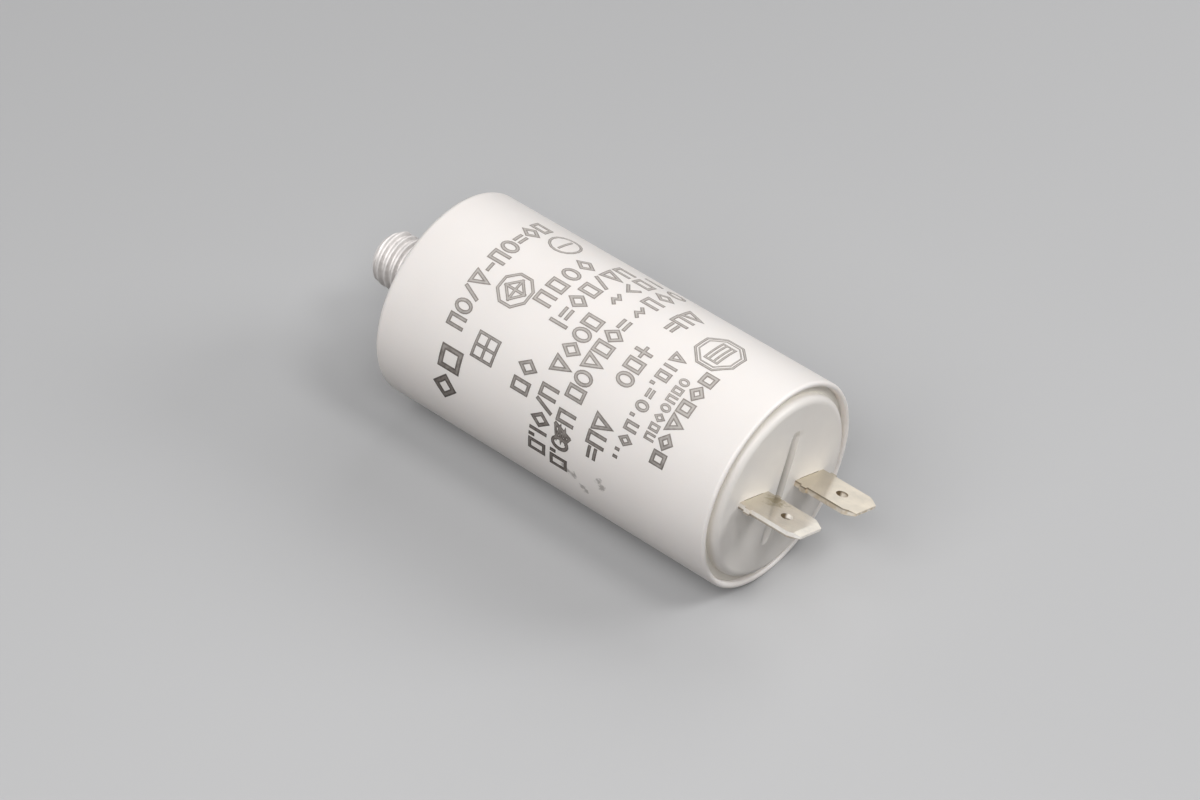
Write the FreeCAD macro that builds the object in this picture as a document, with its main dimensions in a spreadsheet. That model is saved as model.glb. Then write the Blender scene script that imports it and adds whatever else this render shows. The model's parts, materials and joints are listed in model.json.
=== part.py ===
"""Motor-run film capacitor in a round moulded can, lying on its side.

The origin is the middle of the base face, where the mounting stud comes out. +X runs along the
can to the terminals, +Z is up. All sizes are in millimetres and degrees.
"""
import FreeCAD, Part
import math
import os
import Sketcher

# Driving sizes: name, value, what it measures
SIZES = [
    ("can_diameter", 30.0, "outside of the can"),
    ("can_length", 56.5, "base face to rim"),
    ("can_wall", 1.5, "wall of the can below the lid"),
    ("lip_wall", 0.85, "wall of the mouth above the lid's seat"),
    ("base_thickness", 2.0, "floor of the can"),
    ("base_edge_radius", 0.8, "rounding between the base and the side"),
    ("boss_diameter", 18.0, "boss inside the base that holds the stud's head"),
    ("boss_height", 3.5, "boss above the floor of the can"),
    ("seat_depth", 3.1, "rim to the step that the lid sits on"),
    ("moat_depth", 0.9, "rim to the bottom of the moat round the lid"),
    ("moat_width", 1.05, "moat between the mouth and the lid's raised face"),
    ("lid_rise", 0.6, "lid's face above the rim"),
    ("lid_edge_radius", 1.0, "rounding of the lid's raised face"),
    ("lid_clearance", 0.05, "lid inside the mouth, each side"),
    ("scoop_length", 17.0, "creepage groove between the terminals"),
    ("scoop_width", 1.8, "same groove, across"),
    ("scoop_depth", 1.4, "same groove, at its middle"),
    ("row_tilt", 22.3, "row of terminals from the horizontal, falling towards +Y"),
    ("row_pitch", 12.4, "terminal to terminal"),
    ("terminal_reach", 10.0, "rim to the terminals' tips"),
    ("blade_width", 6.3, "terminal blade"),
    ("blade_thickness", 0.8, "terminal strip"),
    ("corner_length", 1.6, "cut corner of the tip, along the blade"),
    ("corner_width", 0.9, "cut corner of the tip, across the blade"),
    ("bevel_length", 1.0, "thinned tip, along the blade"),
    ("bevel_drop", 0.2, "thinned tip, each face"),
    ("eye_diameter", 1.65, "detent hole of the blade"),
    ("eye_inset", 4.0, "tip to the middle of the detent hole"),
    ("nib_height", 1.1, "lid's face to the stop nibs"),
    ("nib_length", 0.9, "stop nib, along the blade"),
    ("nib_stand", 0.4, "stop nib, out of the blade's edge"),
    ("tail_width", 4.2, "terminal inside the lid and below it"),
    ("tail_length", 4.0, "terminal below the lid"),
    ("slot_clearance", 0.05, "terminal's tail in the lid's slot, each side"),
    ("stud_diameter", 8.0, "stud outside the can, over its thread"),
    ("stud_length", 11.6, "stud outside the can"),
    ("stud_chamfer", 1.2, "end of the stud"),
    ("shank_diameter", 8.4, "collar of the stud, inside the base and flush with it"),
    ("head_flats", 13.0, "stud's head, across flats"),
    ("head_height", 3.0, "stud's head"),
    ("core_diameter", 8.0, "tube that the film is wound on"),
    ("core_bore", 4.0, "bore of that tube"),
    ("spray_thickness", 0.6, "metal sprayed on each end of the winding"),
    ("wrap_thickness", 0.3, "plain film round the winding"),
    ("winding_gap_base", 3.0, "resin between the boss and the winding"),
    ("winding_gap_lid", 1.7, "resin between the winding and the terminals' tails"),
    ("lead_diameter", 0.8, "leads"),
    ("lead_bend", 1.2, "bends of the long lead"),
    ("lead_inset", 6.0, "end of the long lead on the base's contact, from the winding's edge"),
    ("sleeve_diameter", 1.4, "insulating sleeve, outside"),
    ("sleeve_clearance", 0.15, "sleeve to the can and to the winding"),
    ("sleeve_inset", 2.0, "end of the sleeve from the end of the winding"),
    ("solder_diameter", 3.0, "solder joints"),
    ("solder_height", 1.4, "solder joints"),
    ("solder_edge_radius", 0.3, "rounding of the solder joints"),
    ("solder_bed", 0.1, "solder between a lead and the face that it lies on"),
    ("resin_gap", 1.0, "air between the resin and the lid"),
]

# Places worked out from the driving sizes
PLACES = [
    ("can_radius", "Sizes.can_diameter / 2"),
    ("bore_radius", "Sizes.can_diameter / 2 - Sizes.can_wall"),
    ("mouth_radius", "Sizes.can_diameter / 2 - Sizes.lip_wall"),
    ("lip_radius", "Sizes.lip_wall / 2"),
    ("shank_radius", "Sizes.shank_diameter / 2"),
    ("stud_radius", "Sizes.stud_diameter / 2"),
    ("boss_radius", "Sizes.boss_diameter / 2"),
    ("boss_top", "Sizes.base_thickness + Sizes.boss_height"),
    ("head_seat", "Sizes.base_thickness + Sizes.boss_height - Sizes.head_height"),
    ("seat", "Sizes.can_length - Sizes.seat_depth"),
    ("moat_floor", "Sizes.can_length - Sizes.moat_depth"),
    ("lid_face", "Sizes.can_length + Sizes.lid_rise"),
    ("flange_radius", "Sizes.can_diameter / 2 - Sizes.lip_wall - Sizes.lid_clearance"),
    ("face_radius", "Sizes.can_diameter / 2 - Sizes.lip_wall - Sizes.moat_width"),
    ("scoop_sweep", "(Sizes.scoop_length ^ 2 / 4 + Sizes.scoop_depth ^ 2) / (2 * Sizes.scoop_depth)"),
    ("scoop_radius", "Sizes.scoop_width / 2"),
    ("tip", "Sizes.can_length + Sizes.terminal_reach"),
    ("tail_end", "Sizes.can_length - Sizes.seat_depth - Sizes.tail_length"),
    ("half_pitch", "Sizes.row_pitch / 2"),
    ("half_blade", "Sizes.blade_width / 2"),
    ("half_strip", "Sizes.blade_thickness / 2"),
    ("half_tail", "Sizes.tail_width / 2"),
    ("lead_radius", "Sizes.lead_diameter / 2"),
    ("lead_lift", "Sizes.blade_thickness / 2 + Sizes.solder_bed + Sizes.lead_diameter / 2"),
    ("lead_level", "Sizes.can_length - Sizes.seat_depth - Sizes.tail_length / 2"),
    ("sleeve_radius", "Sizes.sleeve_diameter / 2"),
    ("solder_radius", "Sizes.solder_diameter / 2"),
]
WINDING_PLACES = [
    ("core_radius", "Sizes.core_diameter / 2"),
    ("wrap_radius", "Places.bore_radius - Sizes.sleeve_diameter - 2 * Sizes.sleeve_clearance"),
    ("film_radius", "wrap_radius - Sizes.wrap_thickness"),
    ("first_end", "Places.boss_top + Sizes.winding_gap_base"),
    ("last_end", "Places.tail_end - Sizes.winding_gap_lid"),
    ("film_start", "first_end + Sizes.spray_thickness"),
    ("film_end", "last_end - Sizes.spray_thickness"),
    ("sleeve_line", "Places.bore_radius - Sizes.sleeve_clearance - Sizes.sleeve_diameter / 2"),
    ("lead_foot", "wrap_radius - Sizes.lead_inset"),
    ("resin_top", "Places.seat - Sizes.resin_gap"),
]

# How far a cutter runs past the face that it cuts
OVERRUN = 1.0
# Below this a coordinate counts as lying on the axis, and a cut as removing nothing
ON_AXIS = 1e-9
# How far an edge may lie from the level that it is looked for at
LEVEL_TOLERANCE = 1e-4
FULL_TURN = 360.0
# Every sketch has its two axes as geometry of its own; the X axis starts at the origin
X_AXIS, Y_AXIS = range(-1, -3, -1)
# Points of a line or an arc, as constraints number them
START, END, CENTRE = range(1, 4)

doc = FreeCAD.newDocument("Capacitor")


def make_sheet(name, rows):
    """A spreadsheet with a name, an aliased value or formula and a note on each line."""
    sheet = doc.addObject("Spreadsheet::Sheet", name)
    for line, row in enumerate(rows, start=1):
        sheet.set("A%d" % line, row[0])
        sheet.setAlias("B%d" % line, row[0])
        content = row[1] if isinstance(row[1], str) else str(row[1])
        sheet.set("B%d" % line, "=" + content if isinstance(row[1], str) else content)
        if len(row) > 2:
            sheet.set("C%d" % line, row[2])
    doc.recompute()
    return sheet


def new_body(label):
    body = doc.addObject("PartDesign::Body", label)
    body.Label = label
    return body


def turn_to_row(body, lift=None):
    """Turn a body so that its Y axis runs along the row of terminals; lift it off that row."""
    body.Placement = FreeCAD.Placement(FreeCAD.Vector(), FreeCAD.Rotation(FreeCAD.Vector(-1, 0, 0), 1))
    body.setExpression("Placement.Rotation.Angle", "Sizes.row_tilt")
    if lift:
        body.setExpression("Placement.Base.y", "%s * sin(Sizes.row_tilt)" % lift)
        body.setExpression("Placement.Base.z", "%s * cos(Sizes.row_tilt)" % lift)


def sketch_on(body, name, plane, offset=None):
    """An empty sketch on one of the body's own planes, moved along X, Y or Z of the sketch."""
    sketch = body.newObject("Sketcher::SketchObject", name)
    support = [item for item in body.Origin.OriginFeatures if item.Role == plane][0]
    sketch.AttachmentSupport = [(support, "")]
    sketch.MapMode = "FlatFace"
    for axis, expression in (offset or {}).items():
        sketch.setExpression("AttachmentOffset.Base." + axis, expression)
    return sketch


def value(owner, expression):
    return float(owner.evalExpression(expression))


def pin(sketch, kind, geometry, point, expression):
    """Hold one coordinate of a point at the value of an expression."""
    distance = value(sketch, expression)
    if abs(distance) < ON_AXIS:
        axis = Y_AXIS if kind == "DistanceX" else X_AXIS
        sketch.addConstraint(Sketcher.Constraint("PointOnObject", geometry, point, axis))
    elif distance > 0:
        rule = Sketcher.Constraint(kind, X_AXIS, START, geometry, point, distance)
        sketch.setExpression("Constraints[%d]" % sketch.addConstraint(rule), expression)
    else:
        rule = Sketcher.Constraint(kind, geometry, point, X_AXIS, START, -distance)
        sketch.setExpression("Constraints[%d]" % sketch.addConstraint(rule), "-(%s)" % expression)


def outline(sketch, corners):
    """A closed outline through the corners, in order, each pinned by two expressions.

    A corner with four entries starts a clockwise arc to the next one, about the centre that its
    last two entries give.
    """
    places = [FreeCAD.Vector(value(sketch, c[0]), value(sketch, c[1]), 0) for c in corners]
    first = sketch.GeometryCount
    ends = []
    for here, there, corner in zip(places, places[1:] + places[:1], corners):
        if len(corner) == 2:
            sketch.addGeometry(Part.LineSegment(here, there), False)
            ends.append((START, END))
        else:
            centre = FreeCAD.Vector(value(sketch, corner[2]), value(sketch, corner[3]), 0)
            start = math.atan2(there.y - centre.y, there.x - centre.x)
            stop = math.atan2(here.y - centre.y, here.x - centre.x)
            circle = Part.Circle(centre, FreeCAD.Vector(0, 0, 1), (here - centre).Length)
            sketch.addGeometry(Part.ArcOfCircle(circle, start, stop), False)
            ends.append((END, START))
    count = len(corners)
    for index, corner in enumerate(corners):
        after = (index + 1) % count
        sketch.addConstraint(Sketcher.Constraint(
            "Coincident", first + index, ends[index][1], first + after, ends[after][0]))
        pin(sketch, "DistanceX", first + index, ends[index][0], corner[0])
        pin(sketch, "DistanceY", first + index, ends[index][0], corner[1])
        if len(corner) > 2:
            pin(sketch, "DistanceX", first + index, CENTRE, corner[2])


def rectangle(sketch, middle_x, middle_y, half_x, half_y):
    """An upright rectangle about a point."""
    low_x, high_x = "%s - (%s)" % (middle_x, half_x), "%s + %s" % (middle_x, half_x)
    low_y, high_y = "%s - (%s)" % (middle_y, half_y), "%s + %s" % (middle_y, half_y)
    outline(sketch, [(low_x, low_y), (high_x, low_y), (high_x, high_y), (low_x, high_y)])


def circle(sketch, middle_x, middle_y, radius):
    centre = FreeCAD.Vector(value(sketch, middle_x), value(sketch, middle_y), 0)
    shape = Part.Circle(centre, FreeCAD.Vector(0, 0, 1), value(sketch, radius))
    index = sketch.addGeometry(shape, False)
    pin(sketch, "DistanceX", index, CENTRE, middle_x)
    pin(sketch, "DistanceY", index, CENTRE, middle_y)
    size = sketch.addConstraint(Sketcher.Constraint("Radius", index, value(sketch, radius)))
    sketch.setExpression("Constraints[%d]" % size, radius)


def hexagon(sketch, flats):
    """A hexagon about the origin with two flats level."""
    point, half_point, half_flats = flats + " / sqrt(3)", flats + " / sqrt(12)", flats + " / 2"
    outline(sketch, [
        (point, "0"), (half_point, half_flats), ("-" + half_point, half_flats),
        ("-" + point, "0"), ("-" + half_point, "-" + half_flats), (half_point, "-" + half_flats)])


def feature(body, kind, name, sketch, **settings):
    """A feature of the body made from a sketch; text settings are expressions."""
    made = body.newObject("PartDesign::" + kind, name)
    made.Profile = sketch
    for setting, content in settings.items():
        if isinstance(content, str) and setting != "Type":
            made.setExpression(setting, content)
        else:
            setattr(made, setting, content)
    sketch.Visibility = False
    doc.recompute()
    return made


def revolve(body, name, sketch, axis="H_Axis", kind="Revolution"):
    return feature(body, kind, name, sketch, ReferenceAxis=(sketch, [axis]), Angle=FULL_TURN)


def check_cut(cut, before):
    """A cut that removed nothing points the wrong way."""
    if cut.Shape.Volume > before - ON_AXIS:
        raise RuntimeError("%s cuts nothing" % cut.Name)


def make_can():
    """Moulded cup: rounded base edge, full round lip, a seat for the lid, a boss for the stud."""
    body = new_body("can")
    profile = sketch_on(body, "can_profile", "XY_Plane")
    outline(profile, [
        ("0", "Places.shank_radius"),
        ("0", "Places.can_radius - Sizes.base_edge_radius",
         "Sizes.base_edge_radius", "Places.can_radius - Sizes.base_edge_radius"),
        ("Sizes.base_edge_radius", "Places.can_radius"),
        ("Sizes.can_length - Places.lip_radius", "Places.can_radius",
         "Sizes.can_length - Places.lip_radius", "Places.can_radius - Places.lip_radius"),
        ("Sizes.can_length - Places.lip_radius", "Places.mouth_radius"),
        ("Places.seat", "Places.mouth_radius"),
        ("Places.seat", "Places.bore_radius"),
        ("Sizes.base_thickness", "Places.bore_radius"),
        ("Sizes.base_thickness", "Places.boss_radius"),
        ("Places.boss_top", "Places.boss_radius"),
        ("Places.boss_top", "Places.shank_radius"),
    ])
    shell = revolve(body, "can_shell", profile)
    pocket_outline = sketch_on(body, "head_pocket_outline", "YZ_Plane", {"z": "Places.boss_top"})
    hexagon(pocket_outline, "Sizes.head_flats")
    pocket = feature(body, "Pocket", "head_pocket", pocket_outline, Length="Sizes.head_height")
    check_cut(pocket, shell.Shape.Volume)
    return body


def make_lid():
    """Stepped disc with a rounded raised face, two slots and the creepage groove between them."""
    body = new_body("lid")
    turn_to_row(body)
    profile = sketch_on(body, "lid_profile", "XY_Plane")
    outline(profile, [
        ("Places.seat", "0"),
        ("Places.seat", "Places.flange_radius"),
        ("Places.moat_floor", "Places.flange_radius"),
        ("Places.moat_floor", "Places.face_radius"),
        ("Places.lid_face - Sizes.lid_edge_radius", "Places.face_radius",
         "Places.lid_face - Sizes.lid_edge_radius", "Places.face_radius - Sizes.lid_edge_radius"),
        ("Places.lid_face", "Places.face_radius - Sizes.lid_edge_radius"),
        ("Places.lid_face", "0"),
    ])
    disc = revolve(body, "lid_disc", profile)
    slot_outlines = sketch_on(body, "slot_outlines", "YZ_Plane", {"z": "Places.lid_face"})
    for middle in ("-Places.half_pitch", "Places.half_pitch"):
        rectangle(slot_outlines, middle, "0", "Places.half_tail + Sizes.slot_clearance",
                  "Places.half_strip + Sizes.slot_clearance")
    slots = feature(body, "Pocket", "slots", slot_outlines, Type="ThroughAll")
    check_cut(slots, disc.Shape.Volume)
    # the groove is what a round-nosed wheel on an axle above the lid would cut
    wheel = sketch_on(body, "scoop_wheel", "XY_Plane",
                      {"x": "Places.lid_face + Places.scoop_sweep - Sizes.scoop_depth"})
    nose = "-(Places.scoop_sweep - Places.scoop_radius)"
    flank = "-(Places.scoop_sweep - Sizes.scoop_depth - %g)" % OVERRUN
    outline(wheel, [
        (nose, "-Places.scoop_radius", nose, "0"),
        (nose, "Places.scoop_radius"),
        (flank, "Places.scoop_radius"),
        (flank, "-Places.scoop_radius"),
    ])
    scoop = revolve(body, "scoop", wheel, axis="V_Axis", kind="Groove")
    check_cut(scoop, slots.Shape.Volume)
    return body


def make_terminal(label, side):
    """Flat blade with cut corners, a thinned tip, a detent hole, stop nibs and a narrower tail."""
    body = new_body(label)
    turn_to_row(body)
    body.setExpression("Placement.Base.y", "%d * Places.half_pitch * cos(Sizes.row_tilt)" % side)
    body.setExpression("Placement.Base.z", "%d * Places.half_pitch * sin(Sizes.row_tilt)" % -side)
    nib_low = "Places.lid_face + Sizes.nib_height"
    nib_high = nib_low + " + Sizes.nib_length"
    nib_edge = "(Places.half_blade + Sizes.nib_stand)"
    half = [
        ("Places.tail_end", "Places.half_tail"),
        ("Places.lid_face", "Places.half_tail"),
        ("Places.lid_face", "Places.half_blade"),
        (nib_low, "Places.half_blade"),
        (nib_low, nib_edge),
        (nib_high, nib_edge),
        (nib_high, "Places.half_blade"),
        ("Places.tip - Sizes.corner_length", "Places.half_blade"),
        ("Places.tip", "(Places.half_blade - Sizes.corner_width)"),
    ]
    mirrored = [(along, "-" + across) for along, across in reversed(half)]
    blank = sketch_on(body, label + "_outline", "XY_Plane", {"z": "-Places.half_strip"})
    outline(blank, half + mirrored)
    blade = feature(body, "Pad", label + "_blade", blank, Length="Sizes.blade_thickness")
    eye_outline = sketch_on(body, label + "_eye_outline", "XY_Plane", {"z": "Places.half_strip"})
    circle(eye_outline, "Places.tip - Sizes.eye_inset", "0", "Sizes.eye_diameter / 2")
    eye = feature(body, "Pocket", label + "_eye", eye_outline, Type="ThroughAll")
    check_cut(eye, blade.Shape.Volume)
    # the sketch lies on one side of the blade and its wedges are cut across it
    wedges = sketch_on(body, label + "_wedges", "XZ_Plane", {"z": "-Places.half_blade"})
    thin = "(Places.half_strip - Sizes.bevel_drop)"
    start = "Places.tip - Sizes.bevel_length"
    outline(wedges, [(start, "Places.half_strip"), ("Places.tip", "Places.half_strip"), ("Places.tip", thin)])
    outline(wedges, [(start, "-Places.half_strip"), ("Places.tip", "-" + thin),
                     ("Places.tip", "-Places.half_strip")])
    bevels = feature(body, "Pocket", label + "_bevels", wedges, Length="Sizes.blade_width", Reversed=True)
    check_cut(bevels, eye.Shape.Volume)
    return body


def make_stud():
    """Stud with a hexagonal head inside the can; it points along -X."""
    body = new_body("mounting_stud")
    body.Placement = FreeCAD.Placement(FreeCAD.Vector(), FreeCAD.Rotation(FreeCAD.Vector(0, 0, 1), 180))
    profile = sketch_on(body, "stud_profile", "XY_Plane")
    outline(profile, [
        ("-Places.head_seat", "0"),
        ("-Places.head_seat", "Places.shank_radius"),
        ("0", "Places.shank_radius"),
        ("0", "Places.stud_radius"),
        ("Sizes.stud_length - Sizes.stud_chamfer", "Places.stud_radius"),
        ("Sizes.stud_length", "Places.stud_radius - Sizes.stud_chamfer"),
        ("Sizes.stud_length", "0"),
    ])
    revolve(body, "stud_shank", profile)
    head_outline = sketch_on(body, "head_outline", "YZ_Plane", {"z": "-Places.boss_top"})
    hexagon(head_outline, "Sizes.head_flats")
    feature(body, "Pad", "stud_head", head_outline, Length="Sizes.head_height")
    return body


def x_cylinder(name, radius, start, stop):
    """A cylinder about the X axis between two places."""
    cylinder = doc.addObject("Part::Cylinder", name)
    cylinder.Placement = FreeCAD.Placement(FreeCAD.Vector(), FreeCAD.Rotation(FreeCAD.Vector(0, 1, 0), 90))
    cylinder.setExpression("Placement.Base.x", start)
    cylinder.setExpression("Radius", radius)
    cylinder.setExpression("Height", "%s - %s" % (stop, start))
    return cylinder


def make_tube(label, outer, inner, start, stop):
    """A tube about the X axis."""
    tube = doc.addObject("Part::Cut", label)
    tube.Label = label
    tube.Base = x_cylinder(label + "_outside", outer, start, stop)
    tube.Tool = x_cylinder(label + "_inside", inner, start, stop)
    return tube


def make_winding():
    """Film wound on its core, plain film round it, and a sprayed metal contact on each end."""
    first, last = "Winding.first_end", "Winding.last_end"
    film_start, film_end = "Winding.film_start", "Winding.film_end"
    core, film = "Winding.core_radius", "Winding.film_radius"
    return [
        make_tube("winding_core", core, "Sizes.core_bore / 2", first, last),
        make_tube("film_winding", film, core, film_start, film_end),
        make_tube("winding_wrap", "Winding.wrap_radius", film, film_start, film_end),
        make_tube("contact_base_end", film, core, first, film_start),
        make_tube("contact_lid_end", film, core, film_end, last),
    ]


def make_short_lead():
    """Straight lead from the contact at the lid's end to the left terminal."""
    body = new_body("lead_short")
    turn_to_row(body, "Places.lead_lift")
    section = sketch_on(body, "lead_short_section", "YZ_Plane", {"z": "Winding.last_end"})
    circle(section, "-Places.half_pitch", "0", "Places.lead_radius")
    length = "Places.lead_level + Places.solder_radius / 2 - Winding.last_end"
    feature(body, "Pad", "lead_short_wire", section, Length=length)
    return body


def make_long_lead():
    """Lead from the contact at the base's end, along the winding, in to the right terminal."""
    body = new_body("lead_long")
    turn_to_row(body, "Places.lead_lift")
    foot_x = "Winding.first_end - Sizes.solder_bed - Places.lead_radius"
    bend = "Sizes.lead_bend"
    line_level = "Winding.sleeve_line"
    path = sketch_on(body, "lead_long_path", "XY_Plane")
    corners = [
        (foot_x, "Winding.lead_foot"),
        (foot_x, line_level + " - " + bend),
        (foot_x + " + " + bend, line_level),
        ("Places.lead_level - " + bend, line_level),
        ("Places.lead_level", line_level + " - " + bend),
        ("Places.lead_level", "Places.half_pitch"),
    ]
    places = [FreeCAD.Vector(value(path, x), value(path, y), 0) for x, y in corners]
    upward, inward = FreeCAD.Vector(value(path, bend), 0, 0), FreeCAD.Vector(0, value(path, bend), 0)
    axis = FreeCAD.Vector(0, 0, 1)
    first_bend = Part.Circle(places[1] + upward, axis, value(path, bend))
    last_bend = Part.Circle(places[3] - inward, axis, value(path, bend))
    path.addGeometry([
        Part.LineSegment(places[0], places[1]),
        Part.ArcOfCircle(first_bend, math.pi / 2, math.pi),
        Part.LineSegment(places[2], places[3]),
        Part.ArcOfCircle(last_bend, 0, math.pi / 2),
        Part.LineSegment(places[4], places[5]),
    ], False)
    foot, first_arc, run, last_arc, arm = range(path.GeometryCount)
    # both arcs are clockwise along the route, so each starts where the route leaves it
    for line, arc, line_point, arc_point in ((foot, first_arc, END, END), (run, first_arc, START, START),
                                             (run, last_arc, END, END), (arm, last_arc, START, START)):
        path.addConstraint(Sketcher.Constraint("Tangent", line, line_point, arc, arc_point))
    for arc in (first_arc, last_arc):
        index = path.addConstraint(Sketcher.Constraint("Radius", arc, value(path, bend)))
        path.setExpression("Constraints[%d]" % index, bend)
    path.addConstraint(Sketcher.Constraint("Vertical", foot))
    path.addConstraint(Sketcher.Constraint("Horizontal", run))
    path.addConstraint(Sketcher.Constraint("Vertical", arm))
    pin(path, "DistanceX", foot, START, corners[0][0])
    pin(path, "DistanceY", foot, START, corners[0][1])
    pin(path, "DistanceY", run, START, line_level)
    pin(path, "DistanceX", arm, END, corners[-1][0])
    pin(path, "DistanceY", arm, END, corners[-1][1])
    section = sketch_on(body, "lead_long_section", "XZ_Plane", {"z": "-Winding.lead_foot"})
    circle(section, foot_x, "0", "Places.lead_radius")
    feature(body, "AdditivePipe", "lead_long_wire", section, Spine=(path, []))
    path.Visibility = False
    return body


def make_sleeve():
    """Insulating sleeve on the straight run of the long lead."""
    body = new_body("lead_sleeve")
    turn_to_row(body, "Places.lead_lift")
    section = sketch_on(body, "sleeve_section", "YZ_Plane", {"z": "Winding.first_end + Sizes.sleeve_inset"})
    circle(section, "Winding.sleeve_line", "0", "Places.sleeve_radius")
    circle(section, "Winding.sleeve_line", "0", "Places.lead_radius")
    length = "Winding.last_end - Winding.first_end - 2 * Sizes.sleeve_inset"
    feature(body, "Pad", "sleeve_tube", section, Length=length)
    return body


def top_edge(shape, axis, level):
    """Name of the round edge that lies wholly at a level along an axis."""
    for number, edge in enumerate(shape.Edges, start=1):
        box = edge.BoundBox
        low, high = getattr(box, axis + "Min"), getattr(box, axis + "Max")
        if abs(low - level) < LEVEL_TOLERANCE and abs(high - level) < LEVEL_TOLERANCE:
            return "Edge%d" % number
    raise RuntimeError("no edge at that level")


def make_solder(label, plane, place, offset, lead, away):
    """A rounded blob of solder on a face, with the lead's own space cut out of it."""
    blob = new_body(label + "_blob")
    turn_to_row(blob)
    base = sketch_on(blob, label + "_outline", plane, {"z": offset})
    circle(base, place[0], place[1], "Places.solder_radius")
    pad = feature(blob, "Pad", label + "_pad", base, Length="Sizes.solder_height", Reversed=away < 0)
    level = value(base, offset) + away * value(base, "Sizes.solder_height")
    axis = "X" if plane == "YZ_Plane" else "Z"
    rounding = blob.newObject("PartDesign::Fillet", label + "_rounding")
    rounding.Base = (pad, [top_edge(pad.Shape, axis, level)])
    rounding.setExpression("Radius", "Sizes.solder_edge_radius")
    joint = doc.addObject("Part::Cut", label)
    joint.Label = label
    joint.Base = blob
    joint.Tool = lead
    return joint


def make_solder_joints(lead_short, lead_long):
    """One joint at each end of each lead."""
    lift = "Places.lead_lift"
    on_strip = "Places.half_strip"
    foot = "Winding.lead_foot + Places.solder_radius / 2"
    return [
        make_solder("solder_contact_left", "YZ_Plane", ("-Places.half_pitch", lift),
                    "Winding.last_end", lead_short, 1),
        make_solder("solder_contact_right", "YZ_Plane", (foot, lift),
                    "Winding.first_end", lead_long, -1),
        make_solder("solder_terminal_left", "XY_Plane", ("Places.lead_level", "-Places.half_pitch"),
                    on_strip, lead_short, 1),
        make_solder("solder_terminal_right", "XY_Plane", ("Places.lead_level", "Places.half_pitch"),
                    on_strip, lead_long, 1),
    ]


def make_resin(inside):
    """Resin that fills the can round everything inside it, up to a gap below the lid."""
    floor = "Sizes.base_thickness"
    displaced = doc.addObject("Part::MultiFuse", "displaced")
    boss = x_cylinder("boss_space", "Places.boss_radius", floor, "Places.boss_top")
    displaced.Shapes = [boss] + inside
    resin = doc.addObject("Part::Cut", "potting_resin")
    resin.Label = "potting_resin"
    resin.Base = x_cylinder("resin_fill", "Places.bore_radius", floor, "Winding.resin_top")
    resin.Tool = displaced
    return resin


def check_document():
    """Stop on any object that failed to recompute."""
    for item in doc.Objects:
        if "Invalid" in item.State or "Error" in item.State:
            raise RuntimeError("%s: %s" % (item.Name, item.State))


def write_parts(pieces):
    """Write each piece to its own file, named by its label."""
    for piece in pieces:
        if piece.Shape.isNull() or not piece.Shape.isValid():
            raise RuntimeError("%s has no valid shape" % piece.Label)
    os.makedirs("parts", exist_ok=True)
    for piece in pieces:
        piece.Shape.exportStep("parts/%s.step" % piece.Label)
        print("%-24s %10.2f mm3  %d solid" % (piece.Label, piece.Shape.Volume, len(piece.Shape.Solids)))


make_sheet("Sizes", SIZES)
make_sheet("Places", PLACES)
make_sheet("Winding", WINDING_PLACES)

can = make_can()
lid = make_lid()
terminals = [make_terminal("terminal_left", -1), make_terminal("terminal_right", 1)]
stud = make_stud()
winding = make_winding()
short_lead, long_lead = make_short_lead(), make_long_lead()
sleeve = make_sleeve()
solder_joints = make_solder_joints(short_lead, long_lead)
potted = terminals + winding + [short_lead, long_lead, sleeve] + solder_joints
resin = make_resin(potted)
doc.recompute()
check_document()
write_parts([can, lid, stud] + potted + [resin])
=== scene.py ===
"""Looks of a motor-run film capacitor lying on its side on a plain pale floor.

Metres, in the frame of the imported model: the origin is the middle of the base face, +X runs along
the can to the terminals and +Z is up. Sizes of the object are written in millimetres and turned into
metres by MM; lamps, floor and clipping are in metres. A place on the can's side is given by its
distance from the base along X and by its angle from the top, towards -Y.
"""
import json
import math

import bpy
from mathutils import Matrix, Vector


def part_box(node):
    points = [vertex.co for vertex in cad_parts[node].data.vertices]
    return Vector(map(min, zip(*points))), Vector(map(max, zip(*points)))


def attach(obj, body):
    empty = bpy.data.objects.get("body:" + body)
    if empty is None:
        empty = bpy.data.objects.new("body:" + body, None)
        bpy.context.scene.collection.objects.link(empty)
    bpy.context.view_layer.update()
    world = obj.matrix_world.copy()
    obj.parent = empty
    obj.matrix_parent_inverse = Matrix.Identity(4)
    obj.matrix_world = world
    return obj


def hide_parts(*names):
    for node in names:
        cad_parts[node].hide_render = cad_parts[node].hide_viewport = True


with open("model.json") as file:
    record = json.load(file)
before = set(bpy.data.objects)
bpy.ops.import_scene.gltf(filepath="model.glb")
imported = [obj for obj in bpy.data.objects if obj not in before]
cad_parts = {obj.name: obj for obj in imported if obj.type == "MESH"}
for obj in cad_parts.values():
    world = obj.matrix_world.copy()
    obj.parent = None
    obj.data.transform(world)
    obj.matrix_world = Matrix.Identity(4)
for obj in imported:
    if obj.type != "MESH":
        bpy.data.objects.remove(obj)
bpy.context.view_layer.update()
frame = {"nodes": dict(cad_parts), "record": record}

MM = 0.001

# The can and the stud, as the frame gives them
CAN_LOW, CAN_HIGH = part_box("can")
CAN_RADIUS = (CAN_HIGH.z - CAN_LOW.z) / 2
CAN_LENGTH = CAN_HIGH.x
CAN_MIDDLE = Vector((CAN_LENGTH / 2, 0.0, 0.0))
STUD_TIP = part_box("mounting_stud")[0].x
MOUNTS = {mount["name"]: mount for mount in frame["record"]["mounts"]}
STUD_RADIUS = MOUNTS["stud"]["dims"]["r_mm"] * MM

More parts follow.
